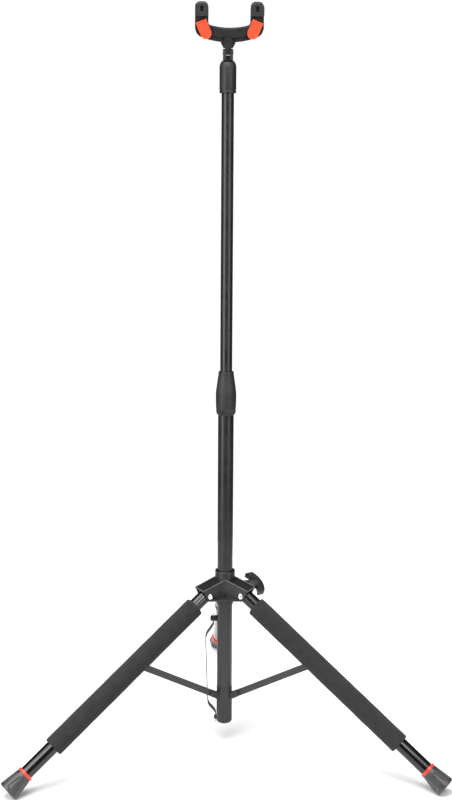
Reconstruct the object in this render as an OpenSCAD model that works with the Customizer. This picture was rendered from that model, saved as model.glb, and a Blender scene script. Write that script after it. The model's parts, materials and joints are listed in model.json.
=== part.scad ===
// Hanging guitar stand on a folding tripod: telescopic mast, sliding leg hub with three braced
// legs, and a tilting neck yoke with two swinging gates. Modelled around the mast axis, then
// moved so that the origin lies on the floor at the middle of the footprint. Z is up, the open
// side of the yoke and the two padded legs face -Y.

/* [Mast] */
// Outer diameter of the lower mast tube
lower_od = 25; // [24:0.5:27]
// Outer diameter of the upper mast tube
upper_od = 19; // [18:0.5:19]
// Wall thickness of all tubes
tube_wall = 1.2; // [1:0.1:1.5]
// Height of the lower tube's top end above the floor
lower_top = 604; // [560:1:640]
// Height of the yoke pin above the floor with the mast fully extended
pin_z = 1120.5; // [1100:1:1140]
// How far the upper tube slides down into the lower one
mast_travel = 340; // [300:5:345]

/* [Tripod] */
// Angle of the opened legs below the horizontal
leg_slope = 35.35; // [34:0.05:37]
// Angle of the folded legs below the horizontal
fold_slope = 83; // [80:1:84]
// Distance of the leg pivots from the mast axis
pivot_r = 35.5; // [35:0.5:36.5]
// Length of a leg from its pivot to the end of its rubber foot
leg_reach = 434.7; // [433:0.1:439]
// Outer diameter of the leg tubes
leg_od = 22; // [21:0.5:22]
// Distance of the brace pin from the leg pivot, along the leg
brace_along = 152.6; // [150:0.1:158]
// Height of a brace strip
brace_w = 11; // [9:0.1:11]
// Thickness of a brace strip
brace_t = 2; // [1.6:0.1:2.2]

/* [Padding and feet] */
// Where a foam sleeve starts, measured from the leg pivot
foam_start = 27; // [26:1:40]
// Length of a foam sleeve
foam_len = 314; // [280:1:318]
// Outer diameter of a foam sleeve
foam_od = 32.4; // [31:0.2:33]
// Largest diameter of a rubber foot
foot_od = 33.6; // [32:0.2:35]
// Number of flutes around a foot
flute_count = 8; // [6:1:9]

/* [Yoke] */
// Forward lean of the yoke from the vertical
yoke_lean = 14; // [0:1:40]
// Outer width of the yoke
yoke_w = 103; // [98:1:108]
// Width of a yoke arm
arm_w = 20; // [18:0.5:21]
// Height of the arm tips above the yoke pin, along the yoke
yoke_reach = 72.8; // [70:0.2:80]
// Outward lean of the gates at rest
gate_lean = 22.5; // [15:0.5:24]

/* [Hidden] */
$fn = 64;
FIT = 0.05;
REAR = 90;
LEFT = 210;
RIGHT = 330;
LEGS = [LEFT, RIGHT, REAR];

// mast
lower_r = lower_od / 2;
lower_bore_r = lower_r - tube_wall;
upper_r = upper_od / 2;
base_r = 13;
base_z = 31;
base_top = 97;
spigot_top = 128;
base_bore_r = 8.5;
upper_bottom = 540;
sleeve_z = pin_z - 60.5;
sleeve_r = 12.8;
shoulder_z = pin_z - 11.5;
upper_top = sleeve_z + 28;
grip_z = lower_top - 44;
grip_top = grip_z + 70;

// leg hub
hub_wall_t = 13.8;
hub_slot_t = 11.9;
hub_collar_r = 16.3;
hub_bore_r = 13.9;
rim_t = 0.3;
rim_w = 1.8;
collar_h = 12.6;
roof_end_r = 48.7;
roof_slope = 0.30;
roof_t = 2.4;
panel_t = 11.2;
panel_r0 = 17;
panel_r1 = 45.6;
flange_t = 3.4;
ear_low_r = 41;
bolt_r = 3;
knob_az = 30;
leg_space_r = pivot_r - 13.6;

// feet: the lowest edge of the rounded end is cut flat where it stands on the floor
foot_r = foot_od / 2;
foot_edge = 2.5;
floor_flat = 1;
foot_neck_r = 12.9;
ring_s = leg_reach - 37;
ring_w = 4.5;
ring_r = 13.3;
leg_r = leg_od / 2;
leg_bore_r = leg_r - tube_wall;
leg_head = 3.4;
foot_drop = (leg_reach - foot_edge) * sin(leg_slope) + (foot_r - foot_edge) * cos(leg_slope)
    + foot_edge - floor_flat;
pivot_z = round(100 * foot_drop) / 100;
hub_z = pivot_z - 8.6;
roof_end_z = pivot_z + 10.9;
hub_top = roof_end_z + (roof_end_r - 8) * roof_slope;
collar_top = hub_top + collar_h;
knob_z = pivot_z + 0.6;

// braces: the upper pin hangs below the leg, the lower end lies in a lug on the mast's foot
pin_drop = 16.9;
lug_r = 23;
lug_z = 86;
brace_top = [pivot_r + brace_along * cos(leg_slope) - pin_drop * sin(leg_slope),
             pivot_z - brace_along * sin(leg_slope) - pin_drop * cos(leg_slope)];
brace_run = brace_top - [lug_r, lug_z];
brace_len = norm(brace_run);
brace_slope = atan2(brace_run[1], brace_run[0]);
fold_run = pivot_r + brace_along * cos(fold_slope) - pin_drop * sin(fold_slope) - lug_r;
folded_brace = acos(fold_run / brace_len);
hub_travel = lug_z + brace_len * sin(folded_brace) - pivot_z
    + brace_along * sin(fold_slope) + pin_drop * cos(fold_slope);
lug_gap = brace_t / 2 + 0.35;
lug_t = 1.6;

// yoke, in its own plane: x across, second coordinate up from the pin
yoke_shift = 1.5;
frame_back = 7;
cover_t = 4;
tip_t = 9;
gate_w0 = 4.3;
gate_w1 = 9.4;
arm_in = yoke_w / 2 - arm_w;
bar_bottom = 14;
bar_top = 34.7;
cover_bottom = 21.9;
cover_top = 44.5;
tip_bottom = 54;
tip_round = 7.5;
corner_r = 16;
corner_up = 22.1;
corner_x = yoke_w / 2 - corner_r;
bar_arc_r = (corner_x * corner_x + corner_up * corner_up - corner_r * corner_r)
    / (2 * (corner_up - corner_r));
gap_arc_r = 112;
gap_fillet = 5;
gate_x = 35.2;
gate_up = 28.5;
gate_r = 8.2;
gate_len = 19.4;
gate_pin_r = 2.5;
pin_r = 2;

// origin: middle of the footprint, from the rounded ends of the rear and the front feet
foot_edge_out = (leg_reach - foot_edge) * cos(leg_slope) + pivot_r;
rear_y = foot_edge_out + (foot_r - foot_edge) * sin(leg_slope) + foot_edge;
front_y = foot_edge_out / 2 + foot_edge
    + (foot_r - foot_edge) * sqrt(1 - pow(cos(leg_slope) / 2, 2));
origin_y = (rear_y - front_y) / 2;

// ---------------------------------------------------------------- helpers

function arc(c, r, a0, a1, n = 12) =
    [for (i = [0 : n]) c + r * [cos(a0 + (a1 - a0) * i / n), sin(a0 + (a1 - a0) * i / n)]];
function mirrored(pts) = [for (i = [len(pts) - 1 : -1 : 0]) [-pts[i][0], pts[i][1]]];

// everything is drawn around the mast axis and set down with the footprint centred
module placed() {
    translate([0, -origin_y, 0]) children();
}

// a tube or bush between two heights
module ring(r_in, r_out, z0, z1) {
    difference() {
        translate([0, 0, z0]) cylinder(r = r_out, h = z1 - z0);
        translate([0, 0, z0 - 1]) cylinder(r = r_in, h = z1 - z0 + 2);
    }
}

// extrudes a (radius, height) outline in the upright plane at an azimuth, from t0 to t1 sideways
module radial_plate(az, t0, t1) {
    rotate([0, 0, az]) translate([0, t1, 0]) rotate([90, 0, 0])
        linear_extrude(t1 - t0) children();
}

// leg frame: X runs down the leg from its pivot, Z points up and out
module on_leg(az) {
    placed() rotate([0, 0, az]) translate([pivot_r, 0, pivot_z]) rotate([0, leg_slope, 0])
        children();
}

// a cylinder along the leg, from one distance to another
module along(r, s0, s1) {
    translate([s0, 0, 0]) rotate([0, 90, 0]) cylinder(r = r, h = s1 - s0);
}

// a cylinder across the leg, from one side distance to another
module across(r, s, up, t0, t1) {
    translate([s, t1, up]) rotate([90, 0, 0]) cylinder(r = r, h = t1 - t0);
}

// yoke frame: X across, Z up along the yoke, -Y towards its front face
module on_yoke(shift = yoke_shift) {
    placed() translate([shift, 0, pin_z]) rotate([yoke_lean, 0, 0]) children();
}

// extrudes an outline of the yoke from one depth to another, front positive
module yoke_plate(w0, w1) {
    translate([0, -w0, 0]) rotate([90, 0, 0]) linear_extrude(w1 - w0) children();
}

// ---------------------------------------------------------------- mast

module lower_tube() {
    color("#1c1c1f") placed() ring(lower_bore_r, lower_r, base_top, lower_top);
}

module base_sleeve() {
    edge = 4;
    spigot_r = lower_bore_r - FIT;
    color("#303033") placed() {
        rotate_extrude() polygon(concat(
            [[base_bore_r, base_z]],
            arc([base_r - edge, base_z + edge], edge, -90, 0, 8),
            [[base_r, base_top - 4], [lower_r + 0.1, base_top], [spigot_r, base_top],
             [spigot_r, spigot_top], [base_bore_r, spigot_top]]));
        for (az = LEGS) for (side = [-1, 1]) base_lug(az, side);
    }
}

// one cheek of the forked lug that the lower end of a brace lies in
module base_lug(az, side) {
    half_w = brace_w / 2;
    t0 = side > 0 ? lug_gap : -lug_gap - lug_t;
    difference() {
        radial_plate(az, t0, t0 + lug_t) translate([lug_r, lug_z]) rotate(brace_slope)
            union() {
                translate([-base_r, -half_w]) square([base_r + 0.5, brace_w]);
                translate([0.5, 0]) circle(r = half_w);
            }
        translate([0, 0, base_z]) cylinder(r = base_r - 0.4, h = spigot_top - base_z);
    }
}

module base_cap() {
    cap_r = base_bore_r - FIT;
    color("#3c3c3f") placed() translate([0, 0, base_z + 0.5]) rotate_extrude()
        polygon([[0, 0], [cap_r - 1.5, 0], [cap_r, 1.5], [cap_r, 12], [cap_r - 2, 12],
                 [cap_r - 2, 3], [0, 3]]);
}

// rivet heads on the outside of the six lug cheeks
module lug_rivets() {
    head_r = 3.2;
    t0 = lug_gap + lug_t;
    color("#8d8f94") placed() for (az = LEGS) for (side = [0, 180])
        rotate([0, 0, az]) translate([lug_r, 0, lug_z]) rotate([90, 0, side])
            translate([0, 0, t0]) rotate_extrude()
                polygon([[0, 0], [head_r, 0], [head_r - 0.3, 0.8], [head_r - 1.4, 1.3], [0, 1.4]]);
}

strap_y = 7;
strap_w = 14;
strap_t = 1.4;
button_z = 212;
button_post_r = 2.5;
anchor_z = 35.5;
anchor_x = -14;
button_x = -18.2;
// centre line of the strap in its upright plane: from the rivet out, up and in to the button
strap_route = [[anchor_x, 30], [anchor_x, 36], [anchor_x, 40.5], [anchor_x - 0.4, 44], [-17.5, 50],
               [-25.5, 60], [-28, 72], [-29.4, 120], [-31, 168], [-30, 184], [-22, 197],
               [button_x - 0.5, 203], [button_x, 206.8], [button_x, 212], [button_x, 218]];

// Catmull-Rom point at parameter u between b and c
function spline(a, b, c, d, u) = 0.5 * ((2 * b) + (c - a) * u + (2 * a - 5 * b + 4 * c - d) * u * u
    + (3 * b - a - 3 * c + d) * u * u * u);
function smooth(p, steps) = [for (i = [0 : len(p) - 2]) for (k = [0 : steps - 1])
    spline(p[max(i - 1, 0)], p[i], p[i + 1], p[min(i + 2, len(p) - 1)], k / steps)];
function side_of(p, i, d) = let (v = p[min(i + 1, len(p) - 1)] - p[max(i - 1, 0)])
    p[i] + d * [-v[1], v[0]] / norm(v);
function ribbon(p, t) = concat([for (i = [0 : len(p) - 1]) side_of(p, i, t / 2)],
    [for (i = [len(p) - 1 : -1 : 0]) side_of(p, i, -t / 2)]);

module strap() {
    route = concat(smooth(strap_route, 4), [strap_route[len(strap_route) - 1]]);
    color("#4a4a4d") placed() difference() {
        translate([0, strap_y + strap_w / 2, 0]) rotate([90, 0, 0]) linear_extrude(strap_w)
            polygon(ribbon(route, strap_t));
        translate([button_x - 3, strap_y, button_z]) rotate([0, 90, 0])
            cylinder(r = button_post_r + 0.1, h = 6);
    }
}

// a turned part that points away from the mast in -X, at the strap's middle
module strap_fastener(z, x0) {
    translate([x0, strap_y, z]) rotate([0, -90, 0]) rotate_extrude() children();
}

module strap_button() {
    behind = button_x + strap_t / 2 + 0.2;
    head = strap_t + 0.4;
    color("#202022") placed() difference() {
        union() {
            strap_fastener(button_z, behind)
                polygon([[0, 0], [button_post_r, 0], [button_post_r, head], [5, head],
                         [5, head + 2.6], [3.6, head + 4.4], [0, head + 4.8]]);
            translate([behind, strap_y, button_z]) rotate([0, 90, 0]) cylinder(r = 4.8, h = 12);
        }
        cylinder(r = lower_r + 0.01, h = lower_top);
    }
}

module strap_rivet() {
    behind = anchor_x + strap_t / 2 + 0.12;
    color("#202022") placed() {
        strap_fastener(anchor_z, anchor_x - strap_t / 2 - 0.12)
            polygon([[0, 0], [3.8, 0], [3.8, 1], [2.6, 2.2], [0, 2.4]]);
        difference() {
            translate([behind, strap_y, anchor_z]) rotate([0, 90, 0]) cylinder(r = 4, h = 6);
            cylinder(r = base_r + 0.01, h = base_top);
        }
    }
}

// ---------------------------------------------------------------- height clutch

collar_r = 13.9;

module clutch_collar() {
    color("#29292c") placed() ring(lower_r + FIT, collar_r, grip_z + 14, lower_top - 4);
}

module clutch_collet() {
    inner = upper_r + 0.1;
    z = lower_top;
    color("#c9c7bd") placed() difference() {
        rotate_extrude() polygon([[inner, z - 24], [lower_bore_r - FIT, z - 24],
            [lower_bore_r - FIT, z], [12.8, z + 0.1], [12.8, z + 4], [11.1, z + 18],
            [inner, z + 18]]);
        for (a = [0 : 60 : 120]) rotate([0, 0, a])
            translate([-15, -0.6, z + 3]) cube([30, 1.2, 20]);
    }
}

module clutch_grip() {
    z = grip_z;
    color("#2b2b2e") placed() rotate_extrude() polygon([
        [lower_r + 0.12, z], [lower_r + 0.6, z], [15.5, z + 4.6], [15.7, z + 7], [16.3, z + 33],
        [16, z + 38], [14.6, z + 49], [12.2, z + 66], [12, z + 69.2], [11.4, grip_top],
        [upper_r + 0.2, grip_top], [upper_r + 0.2, z + 65], [11.6, z + 63.5], [13.5, z + 46.5],
        [14.3, z + 42], [14.3, z + 12], [lower_r + 0.12, z + 12]]);
}

// ---------------------------------------------------------------- upper mast

module upper_tube() {
    color("#1c1c1f") placed() ring(upper_r - tube_wall, upper_r, upper_bottom, upper_top);
}

module guide_bush() {
    color("#c9c7bd") placed()
        ring(upper_r + FIT, lower_bore_r - 0.08, upper_bottom, upper_bottom + 26);
}

prong_x = 7.55;
prong_y = 4.6;
slot_x = 3.3;
slot_base_x = 5.75;
tongue_r = 4.3;

module yoke_sleeve() {
    z = sleeve_z;
    color("#2e2e31") placed() difference() {
        union() {
            rotate_extrude() polygon(concat(
                [[upper_r + FIT, z], [12.2, z], [sleeve_r, z + 0.8], [sleeve_r, z + 3],
                 [12.4, z + 3.4], [12.4, z + 5], [sleeve_r, z + 5.6], [sleeve_r, z + 38]],
                arc([sleeve_r - 14, z + 38], 14, 4, 38, 8),
                [[7, shoulder_z], [0, shoulder_z], [0, upper_top + 2],
                 [upper_r - 2, upper_top + 2], [upper_r - 2, upper_top],
                 [upper_r + FIT, upper_top]]));
            translate([-prong_x, -prong_y, shoulder_z - 4])
                cube([2 * prong_x, 2 * prong_y, pin_z - shoulder_z + 4]);
            translate([-prong_x, 0, pin_z]) rotate([0, 90, 0])
                cylinder(r = prong_y, h = 2 * prong_x);
        }
        // slot for the yoke's tongue, closed behind below the swing of the tongue
        translate([-slot_x, -20, pin_z - tongue_r - 0.4]) cube([2 * slot_x, 40, 30]);
        translate([-slot_x, -20, shoulder_z - 0.6]) cube([2 * slot_x, 22.2, 20]);
        translate([-slot_base_x, -20, shoulder_z - 4]) cube([2 * slot_base_x, 22.2, 3.5]);
        translate([-20, 0, pin_z]) rotate([0, 90, 0]) cylinder(r = pin_r + FIT, h = 40);
    }
}

module yoke_pin() {
    color("#9a9ca0") placed() translate([-prong_x - 0.8, 0, pin_z]) rotate([0, 90, 0]) {
        cylinder(r = pin_r, h = 2 * prong_x + 1.6);
        cylinder(r = 3, h = 0.75);
        translate([0, 0, 2 * prong_x + 0.85]) cylinder(r = 3, h = 0.75);
    }
}

// ---------------------------------------------------------------- yoke

// half of the U outline for x > 0, from the bottom middle round the arm to the gap's middle
bar_tangent = atan2(corner_up - bar_arc_r, corner_x);
fillet_x = arm_in - gap_fillet;
fillet_drop = sqrt(pow(gap_arc_r - gap_fillet, 2) - fillet_x * fillet_x);
U_HALF = concat(
    arc([0, bar_bottom + bar_arc_r], bar_arc_r, -90, bar_tangent, 6),
    arc([corner_x, bar_bottom + corner_up], corner_r, bar_tangent, 0),
    arc([yoke_w / 2 - tip_round, yoke_reach - tip_round], tip_round, 0, 90, 8),
    arc([arm_in + tip_round, yoke_reach - tip_round], tip_round, 90, 180, 8),
    arc([fillet_x, bar_top + gap_arc_r - fillet_drop], gap_fillet, 0,
        atan2(-fillet_drop, fillet_x), 8),
    arc([0, bar_top + gap_arc_r], gap_arc_r, atan2(-fillet_drop, fillet_x), -90, 6));

module u_outline() {
    polygon(concat(U_HALF, mirrored(U_HALF)));
}

module yoke_frame() {
    post_x = 5.9;
    rib_w = 3.6;
    color("#2c2c2f") on_yoke(0) difference() {
        union() {
            translate([yoke_shift, 0, 0]) yoke_plate(-frame_back, 0) u_outline();
            // upright post with its two set-back webs
            yoke_plate(-frame_back, 5.2) polygon([[-post_x, 8], [-4.6, 5.6], [4.6, 5.6],
                [post_x, 8], [post_x, cover_bottom - 0.4], [-post_x, cover_bottom - 0.4]]);
            yoke_plate(-3.5, 1.5) polygon([[-5.5, 5.8], [5.5, 5.8], [7.6, 6.4], [8.2, 8.4],
                [10.8, 12.4], [10.8, 18], [-10.8, 18], [-10.8, 12.4], [-8.2, 8.4], [-7.6, 6.4]]);
            // ribs along the inner edges of the arms, between the cover and the tips
            for (side = [-1, 1]) yoke_plate(0, rib_w)
                translate([side * (arm_in + 2) - 2 + yoke_shift, cover_top + 0.1])
                    square([4, tip_bottom - cover_top - 0.2]);
            // tongue between the prongs
            translate([-slot_x + 0.2, 0, 0]) rotate([0, 90, 0])
                cylinder(r = tongue_r, h = 2 * slot_x - 0.4);
            translate([-slot_x + 0.2, -tongue_r, 0]) cube([2 * slot_x - 0.4, 2 * tongue_r, 7]);
        }
        translate([-20, 0, 0]) rotate([0, 90, 0]) cylinder(r = pin_r + FIT, h = 40);
        for (side = [-1, 1]) translate([side * gate_x + yoke_shift, frame_back + 1, gate_up])
            rotate([90, 0, 0]) cylinder(r = gate_pin_r + FIT, h = frame_back + 2);
        // lightening pockets along the back of the bar
        for (side = [-1, 1]) yoke_plate(-frame_back - 1, -frame_back + 1.5)
            translate([side * 16 - 7, 21.5]) square([14, 9]);
    }
}

module yoke_cover() {
    color("#343437") on_yoke() yoke_plate(0, cover_t) difference() {
        intersection() {
            u_outline();
            translate([-yoke_w / 2, cover_bottom]) square([yoke_w, cover_top - cover_bottom]);
            translate([0, bar_bottom + bar_arc_r])
                circle(r = bar_arc_r - cover_bottom + bar_bottom, $fn = 240);
        }
        for (side = [-1, 1]) translate([side * gate_x, gate_up]) circle(r = gate_pin_r + FIT);
    }
}

module tip_cover(side) {
    hole_x = side * (yoke_w / 2 - arm_w / 2);
    hole_up = 66;
    color("#47474a") on_yoke() difference() {
        yoke_plate(0, tip_t) intersection() {
            u_outline();
            translate([side > 0 ? 0 : -yoke_w, tip_bottom]) square([yoke_w, 40]);
        }
        yoke_plate(tip_t - 4.5, tip_t + 1) translate([hole_x, 0]) union() {
            translate([-2.2, hole_up - 5.6]) square([4.4, 5.6]);
            translate([0, hole_up]) circle(r = 2.9);
        }
    }
}

module tip_cover_left() {
    tip_cover(-1);
}

module tip_cover_right() {
    tip_cover(1);
}

// pins that the gates swing on, held in the frame and hidden inside the gates
module gate_pins() {
    color("#9a9ca0") on_yoke() for (side = [-1, 1])
        translate([side * gate_x, frame_back, gate_up]) rotate([90, 0, 0]) {
            cylinder(r = gate_pin_r, h = frame_back + gate_w0 + 3);
            translate([0, 0, -1.2]) cylinder(r = 4, h = 1.2);
        }
}

// return springs, lying in a recess at the back of each gate
module gate_springs() {
    wire = 0.45;
    color("#b5b7ba") on_yoke() for (side = [-1, 1]) for (turn = [0 : 1])
        translate([side * gate_x, -gate_w0 - 0.6 - turn * 1.1, gate_up]) rotate([90, 0, 0])
            rotate_extrude() translate([3.7, 0]) circle(r = wire, $fn = 16);
}

// cross-head screws on the back of the frame
module yoke_screws() {
    color("#9a9ca0") on_yoke() for (side = [-1, 1]) for (p = [[27, 28.5], [41.5, 62]])
        translate([side * p[0], frame_back + 1.2, p[1]]) rotate([90, 0, 0]) difference() {
            cylinder(r = 2.8, h = 1.2);
            for (a = [0, 90]) rotate([0, 0, a]) translate([-1.6, -0.35, -1]) cube([3.2, 0.7, 1.7]);
        }
}

module gate(side) {
    color("#ff5f46") on_yoke() translate([side * gate_x, 0, gate_up])
        rotate([0, side * gate_lean, 0]) difference() {
            yoke_plate(gate_w0, gate_w1) union() {
                circle(r = gate_r);
                translate([-gate_r, 0]) square([2 * gate_r, gate_len]);
            }
            translate([0, -gate_w0 + 1, 0]) rotate([90, 0, 0])
                cylinder(r = gate_pin_r + FIT, h = 4.3);
            translate([0, -gate_w0 + 1, 0]) rotate([90, 0, 0]) cylinder(r = 4.6, h = 3.4);
            // shallow dish in the front face, leaving a rim
            yoke_plate(gate_w1 - 0.7, gate_w1 + 2) union() {
                circle(r = gate_r - 1.4);
                translate([1.4 - gate_r, 0]) square([2 * gate_r - 2.8, gate_len - 1.4]);
            }
        }
}

module gate_left() {
    gate(-1);
}

module gate_right() {
    gate(1);
}

// ---------------------------------------------------------------- leg hub

function roof(r) = roof_end_z + (roof_end_r - r) * roof_slope;

// what is cut off around one arm of the hub, in the leg's upright plane
ARM_CUT = [[8, hub_top + 1], [8, hub_top - rim_w / 2], [roof_end_r, roof_end_z - rim_w / 2],
           [ear_low_r, hub_z + 2], [ear_low_r - 3, hub_z], [ear_low_r - 3, hub_z - 1],
           [roof_end_r + 9, hub_z - 1], [roof_end_r + 9, hub_top + 1]];
// sloping rim along the top of an arm; the rims cross in front of the collar
ARM_RIM = [[0, roof(0) - rim_w], [0, roof(0)], [roof_end_r - 0.6, roof(roof_end_r - 0.6)],
           [roof_end_r + rim_t, roof_end_z - 0.8], [roof_end_r + rim_t, roof_end_z - rim_w]];

// plan of the hub: three arms with rounded corners between them
function turned(az, p) = [p[0] * cos(az) - p[1] * sin(az), p[0] * sin(az) + p[1] * cos(az)];
function hub_plan(fillet) =
    [for (az = LEGS) each concat(
        [turned(az, [roof_end_r, -hub_wall_t]), turned(az, [roof_end_r, hub_wall_t])],
        [for (p = arc([(hub_wall_t + fillet) / sin(60), 0], fillet, 210, 150, 6))
            turned(az + 60, p)])];

// space that the leg's top end swings in, open downwards and outwards
LEG_SPACE = [[leg_space_r, hub_z - 20], [90, hub_z - 20], [90, roof(roof_end_r) - roof_t],
             [roof_end_r, roof(roof_end_r) - roof_t], [leg_space_r, roof(leg_space_r) - roof_t]];

module leg_hub() {
    color("#303033") placed() difference() {
        union() {
            difference() {
                translate([0, 0, hub_z]) linear_extrude(hub_top - hub_z)
                    polygon(hub_plan(9));
                for (az = LEGS) radial_plate(az, -hub_wall_t - 1, hub_wall_t + 1)
                    polygon(ARM_CUT);
            }
            for (az = LEGS) radial_plate(az, -hub_wall_t - rim_t, hub_wall_t + rim_t)
                polygon(ARM_RIM);
            rotate_extrude() polygon([[0, hub_top - 6], [hub_collar_r, hub_top - 6],
                [hub_collar_r, collar_top - 0.6], [hub_collar_r - 0.5, collar_top],
                [0, collar_top]]);
            // bottom flange between the arms
            translate([0, 0, hub_z + 0.2]) linear_extrude(flange_t) polygon([for (az = LEGS)
                for (side = [-1, 1]) turned(az, [ear_low_r - 2, side * (hub_wall_t - 1)])]);
            // boss of the clamp screw
            translate([0, 0, knob_z]) rotate([0, 90, knob_az]) cylinder(r = 8.9, h = 44);
        }
        translate([0, 0, hub_z - 1]) cylinder(r = hub_bore_r, h = collar_top - hub_z + 2);
        for (az = LEGS) {
            radial_plate(az, -hub_slot_t, hub_slot_t) polygon(LEG_SPACE);
            radial_plate(az, -panel_t, panel_t) polygon([[panel_r0, roof(panel_r0) - 1],
                [panel_r1, roof(panel_r1) - 1], [panel_r1, hub_top + 9], [panel_r0, hub_top + 9]]);
            rotate([0, 0, az]) across2(bolt_r + FIT, pivot_r, pivot_z, 30);
        }
        translate([0, 0, knob_z]) rotate([0, 90, knob_az]) {
            translate([0, 0, 10]) cylinder(r = 4 + FIT, h = 40);
            translate([0, 0, 37]) cylinder(r = 7, h = 6, $fn = 6);
        }
    }
}

// a bore across the radial plane at a radius and height
module across2(r, at_r, at_z, half) {
    translate([at_r, half, at_z]) rotate([90, 0, 0]) cylinder(r = r, h = 2 * half);
}

module hub_liner() {
    slide_r = lower_r + 0.08;
    color("#1e1e20") placed() difference() {
        rotate_extrude() polygon([[slide_r, hub_z - 14], [13.5, hub_z - 14],
            [13.9, hub_z - 12.5], [14.6, hub_z - 0.1], [hub_bore_r - FIT, hub_z - 0.1],
            [hub_bore_r - FIT, collar_top - 1.6], [slide_r + 0.5, collar_top - 1.6],
            [slide_r, collar_top - 2.2]]);
        translate([0, 0, knob_z]) rotate([0, 90, knob_az]) cylinder(r = 4 + FIT, h = 40);
    }
}

// domed bolts that the legs hinge on; heads on the side that faces the other front leg
module leg_bolts() {
    head_t = hub_wall_t;
    color("#c4c6ca") placed() for (az = LEGS) leg_side(az) {
        translate([0, 0, -hub_wall_t]) cylinder(r = bolt_r, h = 2 * hub_wall_t + 0.2);
        translate([0, 0, head_t + 0.04]) bolt_dome(4.9, 3.2);
    }
}

module leg_nuts() {
    color("#c4c6ca") placed() for (az = LEGS) leg_side(az) mirror([0, 0, 1])
        translate([0, 0, hub_wall_t + 0.04]) bolt_dome(4.7, 3);
}

// local Z points along the leg's hinge axis, head side outwards
module leg_side(az) {
    rotate([0, 0, az]) translate([pivot_r, 0, pivot_z]) rotate([az == LEFT ? -90 : 90, 0, 0])
        children();
}

module bolt_dome(r, h) {
    rim = 0.9;
    rise = h - rim;
    cap_r = (r * r + rise * rise) / (2 * rise);
    rotate_extrude() polygon(concat([[0, 0], [r, 0]],
        arc([0, h - cap_r], cap_r, 90 - asin(r / cap_r), 90, 8)));
}

module leg_washers() {
    color("#d8d6cc") placed() for (az = LEGS) leg_side(az) for (side = [0, 1])
        mirror([0, 0, side]) difference() {
            translate([0, 0, leg_r + 0.05]) cylinder(r = 7, h = hub_slot_t - leg_r - 0.1);
            cylinder(r = bolt_r + FIT, h = 30);
        }
}

module on_clamp() {
    placed() translate([0, 0, knob_z]) rotate([0, 90, knob_az]) children();
}

module clamp_nut() {
    color("#9a9ca0") on_clamp() difference() {
        translate([0, 0, 37.2]) cylinder(r = 6.8, h = 5.6, $fn = 6);
        translate([0, 0, 30]) cylinder(r = 4 + FIT, h = 20);
    }
}

module clamp_shoe() {
    color("#c9c7bd") placed() difference() {
        translate([0, 0, knob_z]) rotate([0, 90, knob_az]) translate([0, 0, 10])
            cylinder(r = 3.9, h = 7);
        cylinder(r = lower_r + 0.02, h = lower_top);
    }
}

module clamp_stud() {
    color("#9a9ca0") on_clamp() translate([0, 0, 17.3]) cylinder(r = 4, h = 38);
}

wing_turn = -62;

module clamp_knob() {
    wing_t = 4.5;
    color("#1f1f22") on_clamp() difference() {
        union() {
            translate([0, 0, 45]) cylinder(r1 = 8, r2 = 9, h = 16);
            rotate([0, 0, wing_turn]) rotate([90, 0, 0]) translate([0, 0, -wing_t])
                linear_extrude(2 * wing_t) intersection() {
                    difference() {
                        translate([0, 31]) circle(r = 40);
                        translate([0, 20.5]) circle(r = 38);
                    }
                    translate([-22, 45]) square([44, 40]);
                }
        }
        translate([0, 0, 44]) cylinder(r = 4 + FIT, h = 12);
    }
}

// ---------------------------------------------------------------- legs

module leg_tube(az) {
    color("#141416") on_leg(az) difference() {
        along(leg_r, -leg_head, leg_reach - 14);
        along(leg_bore_r, -leg_head - 1, leg_reach);
        across(bolt_r + FIT, 0, 0, -20, 20);
    }
}

module leg_plug(az) {
    color("#29292c") on_leg(az) difference() {
        union() {
            along(leg_bore_r - FIT, -leg_head - 0.5, 22);
            translate([-leg_head - 2, 0, 0]) rotate([0, 90, 0])
                cylinder(r1 = leg_r - 1.6, r2 = leg_r - 0.1, h = 1.95);
        }
        across(bolt_r + FIT, 0, 0, -20, 20);
    }
}

module leg_foam(az) {
    r = foam_od / 2;
    round_r = 2.4;
    foam_sag = 1;
    color("#3b3b3d") on_leg(az) difference() {
        translate([foam_start, 0, -foam_sag]) rotate([0, 90, 0]) rotate_extrude() polygon(concat(
            [[0, 0]], arc([r - round_r, round_r], round_r, -90, 0, 5),
            arc([r - round_r, foam_len - round_r], round_r, 0, 90, 5), [[0, foam_len]]));
        along(leg_r + 0.1, foam_start - 1, foam_start + foam_len + 1);
        along(band_r + 0.2, brace_along - band_w / 2 - 0.2, brace_along + band_w / 2 + 0.2);
        // slit on the underside that the bracket and the folded brace lie in
        translate([brace_along - band_w / 2 - 0.2, -slit_t, -r - 3]) cube([64, 2 * slit_t, r + 3]);
    }
}

band_r = leg_r + 1.2;
band_w = 12;
slit_t = lug_gap + lug_t + 1.6;

// clamp band around the leg with the two flanges that hold the brace pin
module leg_bracket(az) {
    ear_r = 4.6;
    color("#242427") on_leg(az) difference() {
        union() {
            along(band_r, brace_along - band_w / 2, brace_along + band_w / 2);
            for (side = [-1, 1]) translate([brace_along, side * (lug_gap + lug_t / 2), 0])
                rotate([90, 0, 0]) translate([0, 0, -lug_t / 2]) linear_extrude(lug_t) union() {
                    translate([-ear_r, -pin_drop]) square([2 * ear_r, pin_drop]);
                    translate([0, -pin_drop]) circle(r = ear_r);
                }
        }
        along(leg_r + FIT, 0, leg_reach);
        translate([brace_along - band_w, -lug_gap, -30]) cube([2 * band_w, 2 * lug_gap, 30]);
        across(pin_r + FIT, brace_along, -pin_drop, -10, 10);
    }
}

module leg_pin(az) {
    half = lug_gap + lug_t;
    color("#8d8f94") on_leg(az) {
        across(pin_r, brace_along, -pin_drop, -half - 1.2, half + 1.2);
        across(3.2, brace_along, -pin_drop, half + 0.02, half + 1.2);
        across(3.2, brace_along, -pin_drop, -half - 1.2, -half - 0.02);
    }
}

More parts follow.
